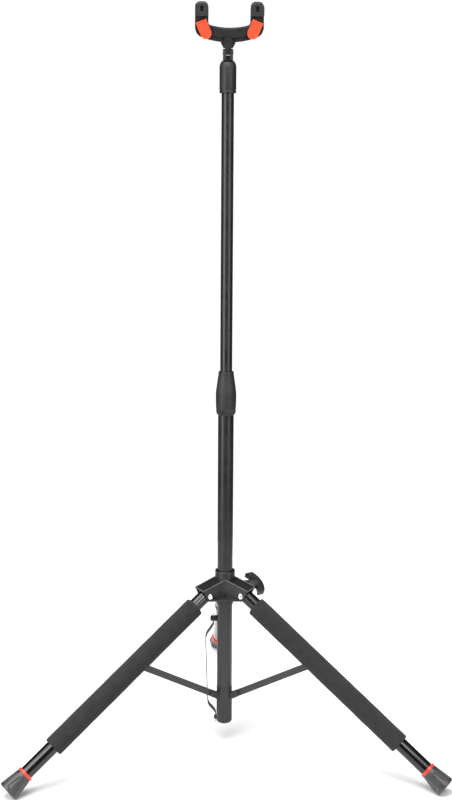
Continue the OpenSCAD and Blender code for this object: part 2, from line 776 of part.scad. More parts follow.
module leg_ring(az) {
    e = 0.7;
    s = ring_w / 2;
    color("#d8281e") on_leg(az) translate([ring_s, 0, 0]) rotate([0, 90, 0]) rotate_extrude()
        polygon([[leg_r + FIT, -s], [ring_r - e, -s], [ring_r, -s + e], [ring_r, s - e],
                 [ring_r - e, s], [leg_r + FIT, s]]);
}

module leg_foot(az) {
    s0 = ring_s + ring_w / 2;
    h = leg_reach - s0;
    taper = atan((foot_r - foot_neck_r) / (h - foot_edge));
    tip_x = leg_reach - 8.5;
    flute_r = 3;
    color("#4d4d50") on_leg(az) difference() {
        translate([s0, 0, 0]) rotate([0, 90, 0]) rotate_extrude() polygon(concat(
            [[0, h - 12], [0, h]], [for (a = [90 : -15 : 0])
                [foot_r - foot_edge + foot_edge * cos(a), h - foot_edge + foot_edge * sin(a)]],
            [[foot_neck_r, 0.6], [foot_neck_r - 0.6, 0.02], [leg_r + FIT, 0.02],
             [leg_r + FIT, h - 12]]));
        for (i = [0 : flute_count - 1]) rotate([(i + 0.5) * 360 / flute_count, 0, 0])
            translate([tip_x, 0, foot_r + 0.9]) {
                sphere(r = flute_r);
                rotate([0, -90 + taper * 0.2, 0]) cylinder(r1 = flute_r, r2 = 2.6, h = 19);
            }
        floor_cut();
    }
}

// everything below the floor plane, seen from the leg's frame
module floor_cut() {
    rotate([0, -leg_slope, 0]) translate([0, -60, -pivot_z - 30]) cube([500, 120, 30]);
}

module left_tube() { leg_tube(LEFT); }
module left_plug() { leg_plug(LEFT); }
module left_foam() { leg_foam(LEFT); }
module left_ring() { leg_ring(LEFT); }
module left_foot() { leg_foot(LEFT); }
module left_bracket() { leg_bracket(LEFT); }
module left_pin() { leg_pin(LEFT); }
module right_tube() { leg_tube(RIGHT); }
module right_plug() { leg_plug(RIGHT); }
module right_foam() { leg_foam(RIGHT); }
module right_ring() { leg_ring(RIGHT); }
module right_foot() { leg_foot(RIGHT); }
module right_bracket() { leg_bracket(RIGHT); }
module right_pin() { leg_pin(RIGHT); }
module rear_tube() { leg_tube(REAR); }
module rear_plug() { leg_plug(REAR); }
module rear_ring() { leg_ring(REAR); }
module rear_foot() { leg_foot(REAR); }
module rear_bracket() { leg_bracket(REAR); }
module rear_pin() { leg_pin(REAR); }

// ---------------------------------------------------------------- braces

module brace(az) {
    half_w = brace_w / 2;
    color("#29292c") placed() difference() {
        radial_plate(az, -brace_t / 2, brace_t / 2) translate([lug_r, lug_z]) rotate(brace_slope)
            union() {
                circle(r = half_w);
                translate([0, -half_w]) square([brace_len, brace_w]);
                translate([brace_len, 0]) circle(r = half_w);
            }
        rotate([0, 0, az]) across2(pin_r + FIT, brace_top[0], brace_top[1], 10);
    }
}

module left_brace() { brace(LEFT); }
module right_brace() { brace(RIGHT); }
module rear_brace() { brace(REAR); }

// ---------------------------------------------------------------- nodes

lower_tube();
base_sleeve();
base_cap();
lug_rivets();
strap();
strap_button();
strap_rivet();
clutch_collar();
clutch_collet();
clutch_grip();
upper_tube();
guide_bush();
yoke_sleeve();
yoke_pin();
yoke_frame();
yoke_cover();
tip_cover_left();
tip_cover_right();
gate_pins();
gate_springs();
yoke_screws();
gate_left();
gate_right();
leg_hub();
hub_liner();
leg_bolts();
leg_nuts();
leg_washers();
clamp_nut();
clamp_shoe();
clamp_knob();
clamp_stud();
left_tube();
left_plug();
left_foam();
left_ring();
left_foot();
left_bracket();
left_pin();
right_tube();
right_plug();
right_foam();
right_ring();
right_foot();
right_bracket();
right_pin();
rear_tube();
rear_plug();
rear_ring();
rear_foot();
rear_bracket();
rear_pin();
left_brace();
right_brace();
rear_brace();
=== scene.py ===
"""Looks of a hanging guitar stand on a folding tripod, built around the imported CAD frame.

Lengths are in metres, in the row frame: +Z up along the mast, the rear leg towards +Y, the two
padded legs and the open side of the yoke towards -Y.
"""
import json
import math

import bmesh
import bpy
from mathutils import Matrix, Vector, noise


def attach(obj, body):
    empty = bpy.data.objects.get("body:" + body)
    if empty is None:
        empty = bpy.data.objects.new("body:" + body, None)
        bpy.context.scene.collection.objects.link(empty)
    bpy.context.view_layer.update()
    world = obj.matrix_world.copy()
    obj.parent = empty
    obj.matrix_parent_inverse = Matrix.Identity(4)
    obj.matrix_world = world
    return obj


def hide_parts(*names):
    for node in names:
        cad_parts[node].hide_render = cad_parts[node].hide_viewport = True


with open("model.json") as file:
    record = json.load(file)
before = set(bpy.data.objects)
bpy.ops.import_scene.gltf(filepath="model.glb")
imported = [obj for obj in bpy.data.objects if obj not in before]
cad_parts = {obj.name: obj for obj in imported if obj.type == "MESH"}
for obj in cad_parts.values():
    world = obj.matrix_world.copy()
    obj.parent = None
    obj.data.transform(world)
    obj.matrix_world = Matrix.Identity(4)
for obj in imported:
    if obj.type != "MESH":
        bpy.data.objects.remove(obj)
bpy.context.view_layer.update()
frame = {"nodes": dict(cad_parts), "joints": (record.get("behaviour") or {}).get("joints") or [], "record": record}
NODES = frame["nodes"]
JOINTS = {j["name"]: j for j in frame["joints"]}
LEGS = ("left", "right", "rear")
MM = 0.001

# joint of the height clutch, and the middle of the mast on the floor below it
CLUTCH = Vector(JOINTS["clutch_twist"]["pos_m"])
AXIS = Vector((CLUTCH.x, CLUTCH.y, 0))

# sizes of the CAD part that the pieces follow, in mm; along a leg they start at its pivot
PIN_ALONG = 152.6
PIN_DROP = 16.9
LEG_TUBE_R = 11.0
LEG_END = 434.7
RING_AT = LEG_END - 37
FOAM_START = 27.0
FOAM_LEN = 314.0
FOAM_R = 16.2
FOAM_SAG = 1.0
FOOT_R = 16.8
FOOT_NECK_R = 12.9
RING_R = 13.3
HUB_WALL = 13.84
HUB_RIM_T = 13.25
ROOF_END_R = 48.7
ROOF_END_UP = 10.9
ROOF_SLOPE = 0.30
GRIP_DROP = 44
STRAP_ROUTE = [(-14, 30), (-14, 36), (-14, 40.5), (-14.4, 44), (-17.5, 50), (-25.5, 60), (-28, 72),
               (-29.4, 120), (-31, 168), (-30, 184), (-22, 197), (-18.7, 203), (-18.2, 206.8),
               (-18.2, 212), (-18.2, 218)]


# ---------------------------------------------------------------- mesh helpers


def new_piece(name, bm, body, replaces=(), material=None, smooth_angle=None):
    """Makes an object of a bmesh, rides it on a body and hides the CAD nodes it stands for."""
    bmesh.ops.recalc_face_normals(bm, faces=bm.faces)
    mesh = bpy.data.meshes.new(name)
    bm.to_mesh(mesh)
    bm.free()
    obj = bpy.data.objects.new(name, mesh)
    bpy.context.scene.collection.objects.link(obj)
    mesh.shade_smooth()
    if smooth_angle is not None:
        mesh.set_sharp_from_angle(angle=math.radians(smooth_angle))
    if material:
        mesh.materials.append(material)
    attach(obj, body)
    if replaces:
        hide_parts(*replaces)
    return obj


def arc(cx, cy, r, a0, a1, n):
    """Points on an arc, angles in degrees."""
    angles = [math.radians(a0 + (a1 - a0) * i / n) for i in range(n + 1)]
    return [(cx + r * math.cos(a), cy + r * math.sin(a)) for a in angles]


def revolve(bm, outline, steps, place=Matrix.Identity(4), shape=None):
    """Turns a closed outline of (radius, height) points round Z.

    shape(r, h, angle) may change the radius.
    """
    rings = []
    for k in range(steps):
        a = 2 * math.pi * k / steps
        ring = []
        for r, h in outline:
            rr = shape(r, h, a) if shape else r
            ring.append(bm.verts.new(place @ Vector((rr * math.cos(a), rr * math.sin(a), h))))
        rings.append(ring)
    n = len(outline)
    for k in range(steps):
        here, there = rings[k], rings[(k + 1) % steps]
        for i in range(n):
            j = (i + 1) % n
            corners = [here[i], there[i], there[j], here[j]]
            if outline[i][0] == 0 and outline[j][0] == 0:
                continue
            if outline[i][0] == 0:
                corners = [here[i], there[j], here[j]]
            elif outline[j][0] == 0:
                corners = [here[i], there[i], here[j]]
            bm.faces.new(corners)
    bmesh.ops.remove_doubles(bm, verts=bm.verts, dist=1e-7)


def subdivided(outline, longest):
    """The closed outline with its long edges split, so that a bump has vertices to move."""
    points = []
    for i, (r, h) in enumerate(outline):
        r2, h2 = outline[(i + 1) % len(outline)]
        parts = max(1, math.ceil(math.hypot(r2 - r, h2 - h) / longest))
        points += [(r + (r2 - r) * k / parts, h + (h2 - h) * k / parts) for k in range(parts)]
    return points


def leg_place(leg):
    """Leg frame: Z runs down the leg from its pivot, -X points up and out, Y lies across.

    The brace pin hangs below the leg's centre line, so the leg's slope follows from two joints.
    """
    pivot = Vector(JOINTS[f"{leg}_leg_fold"]["pos_m"])
    pin = Vector(JOINTS[f"{leg}_stay_fold"]["pos_m"])
    out = pivot - AXIS
    out.z = 0
    out.normalize()
    run = pin - pivot
    slope = math.atan2(-run.z, run.dot(out)) - math.atan2(PIN_DROP, PIN_ALONG)
    down = out * math.cos(slope) - Vector((0, 0, 1)) * math.sin(slope)
    up = out * math.sin(slope) + Vector((0, 0, 1)) * math.cos(slope)
    across = down.cross(-up)
    rotation = Matrix((-up, across, down)).transposed()
    return Matrix.Translation(pivot) @ rotation.to_4x4()


# ---------------------------------------------------------------- materials


def shader(name, color, roughness, metallic=0.0, **sockets):
    """A material with a Principled shader; sockets are set by their own names with _ for spaces."""
    mat = bpy.data.materials.new(name)
    mat.use_nodes = True
    bsdf = mat.node_tree.nodes["Principled BSDF"]
    bsdf.inputs["Base Color"].default_value = (*color, 1)
    bsdf.inputs["Roughness"].default_value = roughness
    bsdf.inputs["Metallic"].default_value = metallic
    for key, value in sockets.items():
        bsdf.inputs[key.replace("_", " ")].default_value = value
    return mat


def add(mat, kind, **props):
    """Adds a node to a material."""
    node = mat.node_tree.nodes.new(kind)
    for key, value in props.items():
        setattr(node, key, value)
    return node


def link(mat, out_node, out_name, in_node, in_name):
    """Links two sockets by name."""
    mat.node_tree.links.new(out_node.outputs[out_name], in_node.inputs[in_name])


def in_object_space(mat, tex, scale, stretch=(1, 1, 1)):
    """Feeds a texture with object metres: scale is in features per metre."""
    where = add(mat, "ShaderNodeTexCoord")
    place = add(mat, "ShaderNodeMapping")
    place.inputs["Scale"].default_value = stretch
    tex.inputs["Scale"].default_value = scale
    link(mat, where, "Object", place, "Vector")
    link(mat, place, "Vector", tex, "Vector")
    return tex


def noise_texture(mat, scale, detail=2.0, rough=0.5, stretch=(1, 1, 1)):
    """Cloudy noise."""
    tex = add(mat, "ShaderNodeTexNoise")
    tex.inputs["Detail"].default_value = detail
    tex.inputs["Roughness"].default_value = rough
    return in_object_space(mat, tex, scale, stretch)


def cell_texture(mat, scale):
    """Round cells, for pits and grain."""
    return in_object_space(mat, add(mat, "ShaderNodeTexVoronoi", feature="F1"), scale)


def ramp(mat, tex, out_name, low, high, start=0.35, end=0.65):
    """Colour ramp from low to high over a part of a texture's range."""
    node = add(mat, "ShaderNodeValToRGB")
    node.color_ramp.elements[0].position = start
    node.color_ramp.elements[0].color = (*low, 1)
    node.color_ramp.elements[1].position = end
    node.color_ramp.elements[1].color = (*high, 1)
    link(mat, tex, out_name, node, "Fac")
    return node


def bump(mat, tex, out_name, distance, strength=1.0, below=None):
    """Bump of a height texture, in metres, on top of another bump."""
    bsdf = mat.node_tree.nodes["Principled BSDF"]
    node = add(mat, "ShaderNodeBump")
    node.inputs["Strength"].default_value = strength
    node.inputs["Distance"].default_value = distance
    link(mat, tex, out_name, node, "Height")
    if below:
        link(mat, below, "Normal", node, "Normal")
    link(mat, node, "Normal", bsdf, "Normal")
    return node


def color_from(mat, node):
    """Takes the base colour from a colour ramp."""
    link(mat, node, "Color", mat.node_tree.nodes["Principled BSDF"], "Base Color")


def rough_from(mat, tex, out_name, low, high):
    """Roughness that varies between two values with a texture."""
    node = add(mat, "ShaderNodeMapRange")
    node.inputs["From Min"].default_value = 0.3
    node.inputs["From Max"].default_value = 0.7
    node.inputs["To Min"].default_value = low
    node.inputs["To Max"].default_value = high
    link(mat, tex, out_name, node, "Value")
    link(mat, node, "Result", mat.node_tree.nodes["Principled BSDF"], "Roughness")


def grey(v):
    """A nearly neutral grey, slightly cool."""
    return (v, v, v * 1.04)


def paint(name, value, rough, peel):
    """Baked paint on steel: fine orange peel, faint cloudiness, slightly varied gloss."""
    mat = shader(name, grey(value), rough, Specular_IOR_Level=0.5)
    cloud = noise_texture(mat, 45, 3)
    color_from(mat, ramp(mat, cloud, "Fac", grey(value * 0.85), grey(value * 1.2)))
    rough_from(mat, cloud, "Fac", rough * 0.85, rough * 1.18)
    bump(mat, noise_texture(mat, 900, 2), "Fac", peel)
    return mat


def moulded(name, value, rough, grain, coarse=1100, specular=0.5):
    """Moulded plastic with a fine spark-eroded grain."""
    mat = shader(name, grey(value), rough, Specular_IOR_Level=specular)
    cloud = noise_texture(mat, 60, 3)
    color_from(mat, ramp(mat, cloud, "Fac", grey(value * 0.86), grey(value * 1.15)))
    rough_from(mat, cloud, "Fac", rough * 0.9, rough * 1.12)
    fine = bump(mat, noise_texture(mat, coarse, 3, 0.6), "Fac", grain)
    bump(mat, cell_texture(mat, coarse * 0.8), "Distance", grain * 0.6, below=fine)
    return mat


def metal(name, value, rough, brushed=0.00002):
    """Plated or polished steel with fine marks."""
    mat = shader(name, grey(value), rough, metallic=1.0)
    fine = noise_texture(mat, 1400, 2, stretch=(1, 1, 0.15))
    rough_from(mat, fine, "Fac", rough * 0.8, rough * 1.3)
    bump(mat, fine, "Fac", brushed)
    return mat


def foam_material():
    """Closed-cell foam rubber: fine pits, soft mottling, dull."""
    value = 0.0105
    mat = shader("foam_rubber", grey(value), 0.92, Sheen_Weight=0.06, Sheen_Roughness=0.6,
                 Specular_IOR_Level=0.3)
    mottle = noise_texture(mat, 70, 5, 0.65)
    color_from(mat, ramp(mat, mottle, "Fac", grey(value * 0.72), grey(value * 1.32), 0.3, 0.7))
    pits = bump(mat, cell_texture(mat, 900), "Distance", 0.00035)
    bump(mat, noise_texture(mat, 260, 4, 0.7), "Fac", 0.0005, below=pits)
    return mat


def webbing_material():
    """Narrow woven polyester tape."""
    mat = shader("strap_webbing", (0.04, 0.044, 0.04), 0.8, Sheen_Weight=0.08, Sheen_Roughness=0.5)
    weave = add(mat, "ShaderNodeTexWave", wave_type="BANDS", bands_direction="DIAGONAL")
    weave.inputs["Distortion"].default_value = 1.2
    in_object_space(mat, weave, 260)
    color_from(mat, ramp(mat, weave, "Fac", (0.022, 0.025, 0.023), (0.055, 0.06, 0.056), 0.2, 0.8))
    bump(mat, weave, "Fac", 0.0003)
    return mat


def rubber_material(name, value, rough, grain, coarse):
    """Grey rubber, finely grained, with a faint bloom."""
    mat = shader(name, grey(value), rough, Sheen_Weight=0.06, Sheen_Roughness=0.4)
    cloud = noise_texture(mat, 120, 4)
    color_from(mat, ramp(mat, cloud, "Fac", grey(value * 0.82), grey(value * 1.2)))
    rough_from(mat, cloud, "Fac", rough * 0.85, rough * 1.15)
    bump(mat, noise_texture(mat, coarse, 3, 0.6), "Fac", grain)
    return mat


def soft_colour_material(name, color, rough, grain, coarse, subsurface=0.0):
    """Coloured rubber or plastic with a slight variation."""
    mat = shader(name, color, rough, Subsurface_Weight=subsurface, Subsurface_Scale=0.002)
    cloud = noise_texture(mat, 150, 4)
    low = tuple(c * 0.86 for c in color)
    high = tuple(min(1.0, c * 1.06) for c in color)
    color_from(mat, ramp(mat, cloud, "Fac", low, high))
    bump(mat, noise_texture(mat, coarse, 2), "Fac", grain)
    return mat


MATERIALS = {
    "mast_steel": paint("mast_paint", 0.01, 0.33, 0.00001),
    "leg_steel": paint("leg_gloss_paint", 0.004, 0.11, 0.000012),
    "brace_steel": paint("brace_paint", 0.012, 0.36, 0.00005),
    "bracket_steel": paint("bracket_paint", 0.01, 0.4, 0.00006),
    "zinc": metal("zinc_plate", 0.55, 0.32),
    "bright_steel": metal("bright_steel", 0.86, 0.10, 0.000005),
    "base_plastic": moulded("base_plastic", 0.008, 0.5, 0.00008),
    "trim_plastic": moulded("trim_plastic", 0.009, 0.5, 0.00007),
    "grip_plastic": moulded("grip_plastic", 0.013, 0.54, 0.00007, specular=0.44),
    "sleeve_plastic": moulded("sleeve_plastic", 0.011, 0.52, 0.00006, specular=0.42),
    "hub_plastic": moulded("hub_plastic", 0.0095, 0.38, 0.0001),
    # painted highlight: the hub's rim beads are far lighter than the hub plastic, standing in for the light caught
    # by its edges
    "hub_edge_painted_highlight": moulded("hub_edge_painted_highlight", 0.055, 0.3, 0.00003),
    # real grain, and painted shade: the recess panels are much darker than the hub plastic that they belong to
    "hub_grain_and_painted_shade": moulded("hub_grain_and_painted_shade", 0.003, 0.7, 0.00005, specular=0.22),
    "yoke_plastic": moulded("yoke_plastic", 0.013, 0.44, 0.00008),
    "knob_plastic": moulded("knob_plastic", 0.006, 0.4, 0.00008),
    "nylon": moulded("nylon", 0.55, 0.4, 0.00004),
    "tip_rubber": rubber_material("tip_rubber", 0.0125, 0.62, 0.00028, 1500),
    "foot_rubber": rubber_material("foot_rubber", 0.024, 0.34, 0.00006, 900),
    "gate_rubber": soft_colour_material("gate_rubber", (0.93, 0.08, 0.029), 0.38, 0.00005, 1200,
                                        0.1),
    "red_ring": soft_colour_material("red_ring", (0.85, 0.035, 0.02), 0.22, 0.00002, 900, 0.05),
    "foam": foam_material(),
    "strap_webbing": webbing_material(),
}


# blackened like the brackets that they sit in
DARK_RIVETS = ("lug_rivets", "left_pin", "right_pin", "rear_pin")


def dress_cad_nodes():
    """Every CAD node gets the material of its slot, apart from the dark rivets."""
    for part in frame["record"]["subparts"]:
        obj = NODES[part["node"]]
        obj.data.materials.clear()
        dark = part["node"] in DARK_RIVETS
        obj.data.materials.append(MATERIALS["bracket_steel" if dark else part["material_slot"]])
        for polygon in obj.data.polygons:
            polygon.material_index = 0


def round_edges(node, width, segments=3):
    """Rounds the sharp edges of a CAD node by a width in mm.

    Flat stretches are merged first so that the bevel is even.
    """
    obj = NODES[node]
    weld = obj.modifiers.new("weld", "WELD")
    weld.merge_threshold = 2e-6
    flat = obj.modifiers.new("flat", "DECIMATE")
    flat.decimate_type = "DISSOLVE"
    flat.angle_limit = math.radians(1)
    edge = obj.modifiers.new("edge", "BEVEL")
    edge.width = width * MM
    edge.segments = segments
    edge.limit_method = "ANGLE"
    edge.angle_limit = math.radians(32)
    edge.harden_normals = True
    edge.use_clamp_overlap = True


# ---------------------------------------------------------------- pieces


def smooth_step(v):
    """Smooth rise from 0 to 1."""
    v = min(1.0, max(0.0, v))
    return v * v * (3 - 2 * v)


def in_metres(outline):
    """The outline with its millimetres turned into metres."""
    return [(r * MM, h * MM) for r, h in outline]


def foam_sleeve(leg):
    """Soft sleeve, thicker underneath, slightly uneven, with the slit that the brace folds into."""
    edge, bore = 2.6, LEG_TUBE_R + 0.12
    end = FOAM_START + FOAM_LEN
    slit_from, slit_to, slit_half = PIN_ALONG - 6.2, PIN_ALONG + 57.8, 4.55
    seed = 7.0 if leg == "left" else 31.0
    outer = arc(FOAM_R - edge, FOAM_START + edge, edge, -90, 0, 7)
    outer += arc(FOAM_R - edge, end - edge, edge, 0, 90, 7)
    fine = subdivided(outer + [(bore, end)], 1.5)
    outline = [(r, h) for r, h in fine if r > bore - 0.01] + [(bore, FOAM_START)]

    def shape(r, h, a):
        r, h = r / MM, h / MM
        if r < bore + 0.2:
            return r * MM
        share = (r - bore) / (FOAM_R - bore)
        soft = noise.noise(Vector((1.3 * math.cos(a), 1.3 * math.sin(a) + seed, h / 21)))
        pores = noise.noise(Vector((9 * math.cos(a), 9 * math.sin(a) + seed, h / 2.3)))
        r += share * (FOAM_SAG * math.cos(a) + 0.28 * soft + 0.1 * pores)
        if math.cos(a) > 0 and abs(r * math.sin(a)) < slit_half and slit_from < h < slit_to:
            r = bore + 0.25
        return r * MM

    bm = bmesh.new()
    revolve(bm, in_metres(outline), 128, leg_place(leg), shape)
    obj = new_piece(f"{leg}_foam_sleeve", bm, f"{leg}_leg", [f"{leg}_foam"],
                    MATERIALS["foam"], 50)


def foot_outline():
    """Rubber boot from the ring to its rounded end, open towards the tube."""
    top, edge, neck = RING_AT + 2.25, 2.5, FOOT_NECK_R
    bore = LEG_TUBE_R + 0.05
    points = [(bore, top), (neck - 0.9, top), (neck - 0.2, top + 0.25), (neck, top + 0.9)]
    side = arc(FOOT_R - edge, LEG_END - edge, edge, 8, 90, 8)
    last = points[-1]
    for k in range(1, 76):
        t = k / 76
        points.append(tuple(a + (b - a) * t for a, b in zip(last, side[0])))
    points += side
    points += [(r, LEG_END) for r in (12.5, 10.8, 9.6)] + [(9.2, LEG_END - 0.5)]
    points += [(r, LEG_END - 0.9) for r in (8.8, 4.0, 0)]
    points += [(0, LEG_END - 12), (bore, LEG_END - 12)]
    return points


def rubber_foot(leg):
    """Flared boot with eight teardrop flutes, each with a slightly raised lip."""
    count, depth, lip = 8, 1.5, 0.22
    flute_top, flute_low = RING_AT + 9.5, LEG_END - 8.6

    def shape(r, h, a):
        r, h = r / MM, h / MM
        if r < LEG_TUBE_R + 0.3 or h > LEG_END - 0.4:
            return r * MM
        pitch = 2 * math.pi / count
        off = (a + pitch / 2) % pitch - pitch / 2
        t = min(1.0, max(0.0, (h - flute_top) / (flute_low - flute_top)))
        centre = flute_top + t * (flute_low - flute_top)
        dist = math.hypot(r * off, h - centre) - (1.5 + 2.1 * t)
        if dist < 0:
            r -= depth * smooth_step(-dist / 1.0)
        elif dist < 1.1:
            r += lip * math.sin(math.pi * dist / 1.1)
        return r * MM

    bm = bmesh.new()
    revolve(bm, in_metres(foot_outline()), 288, leg_place(leg), shape)
    for v in bm.verts:
        v.co.z = max(v.co.z, 0.0)
    new_piece(f"{leg}_boot", bm, f"{leg}_leg", [f"{leg}_foot"],
              MATERIALS["foot_rubber"], 45)


def ankle_ring(leg):
    """Glossy red ring with rounded shoulders."""
    low, high, edge, bore = RING_AT - 2.25, RING_AT + 2.2, 1.1, LEG_TUBE_R + 0.06
    outline = [(bore, low)]
    outline += arc(RING_R - edge, low + edge, edge, -90, -15, 6)
    outline += [(RING_R + 0.02, (low + high) / 2)]
    outline += arc(RING_R - edge, high - edge, edge, 15, 90, 6)
    outline += [(bore, high)]
    bm = bmesh.new()
    revolve(bm, in_metres(outline), 128, leg_place(leg))
    new_piece(f"{leg}_ankle_ring", bm, f"{leg}_leg", [f"{leg}_ring"],
              MATERIALS["red_ring"], 40)


def twist_grip():
    """Grip of the height clutch: smooth, with a band of slanting ribs round its lower end."""
    z = CLUTCH.z / MM - GRIP_DROP
    ribs, height = 58, 0.32
    band_low, band_high = z + 1.2, z + 9.6
    outer = [(13.1, z), (13.9, z + 0.9)]
    steps = 30
    for k in range(steps + 1):
        h = band_low + (band_high - band_low) * k / steps
        outer.append((15.35 - 1.3 * max(0.0, (z + 4.4 - h) / 3.2), h))
    outer += [(15.35, z + 10.0), (15.75, z + 10.5), (15.9, z + 11.5), (16.25, z + 24)]
    outer += [(16.3, z + 33), (16.15, z + 37), (15.6, z + 41.5), (14.7, z + 48.5)]
    outer += [(13.5, z + 57), (12.3, z + 65)]
    outer += [(12.1, z + 66), (12.25, z + 66.8), (12.25, z + 69), (11.9, z + 69.8), (11.3, z + 70)]
    inner = [(9.75, z + 70), (9.7, z + 65), (11.6, z + 63.5), (13.5, z + 46.5), (14.2, z + 42)]
    inner += [(14.2, z + 12), (12.65, z + 12), (12.65, z)]

    def shape(r, h, a):
        hh = h / MM
        if band_low <= hh <= band_high and r > 13.3 * MM:
            edge = smooth_step((hh - band_low) / 1.2) * smooth_step((band_high - hh) / 0.8)
            wave = math.sin(ribs * (a - (hh - z) / 15.0))
            r += height * MM * edge * (0.6 * wave + 0.4 * wave * wave * wave)
        return r

    bm = bmesh.new()
    revolve(bm, in_metres(outer + inner), ribs * 10, Matrix.Translation(AXIS), shape)
    new_piece("twist_grip", bm, "clutch", ["clutch_grip"],
              MATERIALS["grip_plastic"], 40)


def hinge_fasteners(name, node, radius, height, head_side):
    """Domed bright heads on the pivots of the three legs, each on its thin flange."""
    bm = bmesh.new()
    for leg in LEGS:
        joint = JOINTS[f"{leg}_leg_fold"]
        axis = Vector(joint["axis"]).normalized()
        side = axis * (1 if leg == "left" else -1) * head_side
        turn = side.to_track_quat("Z", "Y").to_matrix().to_4x4()
        place = Matrix.Translation(Vector(joint["pos_m"])) @ turn
        rise = height - 0.8
        ball = (radius * radius + rise * rise) / (2 * rise)
        half = math.degrees(math.asin((radius - 0.25) / ball))
        dome = arc(0, HUB_WALL + height - ball, ball, 90 - half, 90, 12)
        outline = [(0, HUB_WALL - 6), (3, HUB_WALL - 6), (3, HUB_WALL), (radius - 0.2, HUB_WALL),
                   (radius, HUB_WALL + 0.2), (radius, HUB_WALL + 0.6)] + dome
        outline[-1] = (0, outline[-1][1])
        revolve(bm, in_metres(outline), 72, place)
    new_piece(name, bm, "hub", [node], MATERIALS["bright_steel"], 35)


def hub_roof(r):
    """Height of the hub's sloping roof above the leg pivots at a radius, in mm."""
    return ROOF_END_UP + (ROOF_END_R - r) * ROOF_SLOPE


def hub_point(leg, r, t, h):
    """World place of a point on a hub arm: radius, side distance, height over the pivot, in mm."""
    pivot = Vector(JOINTS[f"{leg}_leg_fold"]["pos_m"])
    out = pivot - AXIS
    out.z = 0
    out.normalize()
    side = Vector((-out.y, out.x, 0))
    return AXIS + out * r * MM + side * t * MM + Vector((0, 0, pivot.z + h * MM))


def bead(bm, path, radius, sides=10):
    """Round bead along a path, closed at its ends."""
    rows = []
    for i, point in enumerate(path):
        run = (path[min(i + 1, len(path) - 1)] - path[max(i - 1, 0)]).normalized()
        a = run.cross(Vector((0, 0, 1))).normalized()
        b = run.cross(a)
        angles = [2 * math.pi * k / sides for k in range(sides)]
        rows.append([bm.verts.new(point + radius * (a * math.cos(w) + b * math.sin(w)))
                     for w in angles])
    for here, there in zip(rows, rows[1:]):
        for i in range(sides):
            j = (i + 1) % sides
            bm.faces.new((here[i], here[j], there[j], there[i]))
    bm.faces.new(rows[0])
    bm.faces.new(list(reversed(rows[-1])))


def hub_rims():
    """Rounded beads along the top edges of the hub's three arms, in a much lighter plastic that paints the
    highlights of these edges.
    """
    bm = bmesh.new()
    for leg in LEGS:
        path = [(2 + 43 * k / 12, -HUB_RIM_T) for k in range(13)]
        path += arc(46.2, -11.0, 2.25, -70, 0, 6)
        path += [(48.45, t) for t in (-8, -4, 0, 4, 8)]
        path += arc(46.2, 11.0, 2.25, 0, 70, 6)
        path += [(45 - 43 * k / 12, HUB_RIM_T) for k in range(13)]
        bead(bm, [hub_point(leg, r, t, hub_roof(r) - 0.25) for r, t in path], 0.85 * MM)
    new_piece("hub_rims", bm, "hub", material=MATERIALS["hub_edge_painted_highlight"])


def hub_grain_panels():
    """Grained panels in the recesses of the three roofs: rows of small pyramids, coloured darker than the hub
    plastic as painted shade in the recesses.
    """
    rows, columns = 57, 44
    r_from, r_to, half_width = 17.1, 45.5, 11.1
    bm = bmesh.new()
    for leg in LEGS:
        grid = []
        for i in range(rows + 1):
            r = r_from + (r_to - r_from) * i / rows
            line = []
            for k in range(columns + 1):
                t = -half_width + 2 * half_width * k / columns
                inside = 0 < i < rows and 0 < k < columns
                peak = 0.34 if inside and i % 2 and k % 2 else 0.0
                line.append(bm.verts.new(hub_point(leg, r, t, hub_roof(r) - 0.96 + peak)))
            grid.append(line)
        for i in range(rows):
            for k in range(columns):
                bm.faces.new((grid[i][k], grid[i + 1][k], grid[i + 1][k + 1], grid[i][k + 1]))
    obj = new_piece("hub_grain_panels", bm, "hub", material=MATERIALS["hub_grain_and_painted_shade"])
    obj.data.shade_flat()


def catmull(points, steps):
    """Smooth curve through points, ends included."""
    out = []
    last = len(points) - 1
    for i in range(last):
        a, b = points[max(i - 1, 0)], points[i]
        c, d = points[i + 1], points[min(i + 2, last)]
        for k in range(steps):
            u = k / steps
            out.append(0.5 * ((2 * b) + (c - a) * u + (2 * a - 5 * b + 4 * c - d) * u * u
                              + (3 * b - a - 3 * c + d) * u * u * u))
    return out + [points[last]]


def storage_strap():
    """Woven strap with thicker selvedges, bowed out from its rivet up to its button."""
    path = catmull([Vector((x, z)) for x, z in STRAP_ROUTE], 12)
    section = [(0.2, 0.62), (0.9, 0.7), (1.7, 0.66), (2.1, 0.48), (7, 0.5), (11.9, 0.48),
               (12.3, 0.66), (13.1, 0.7), (13.8, 0.62), (14, 0.3)]
    loop = section + [(y, -d) for y, d in reversed(section)] + [(0, -0.3), (0, 0.3)]
    bm = bmesh.new()
    rows = []
    for i, point in enumerate(path):
        run = path[min(i + 1, len(path) - 1)] - path[max(i - 1, 0)]
        side = Vector((-run.y, run.x)).normalized()
        row = []
        for y, d in loop:
            p = point + side * d
            row.append(bm.verts.new(AXIS + Vector((p.x, y, p.y)) * MM))
        rows.append(row)
    for here, there in zip(rows, rows[1:]):
        for i in range(len(loop)):
            j = (i + 1) % len(loop)
            bm.faces.new((here[i], here[j], there[j], there[i]))
    bm.faces.new(rows[0])
    bm.faces.new(list(reversed(rows[-1])))
    new_piece("storage_strap", bm, "mast", ["strap"],
              MATERIALS["strap_webbing"], 40)


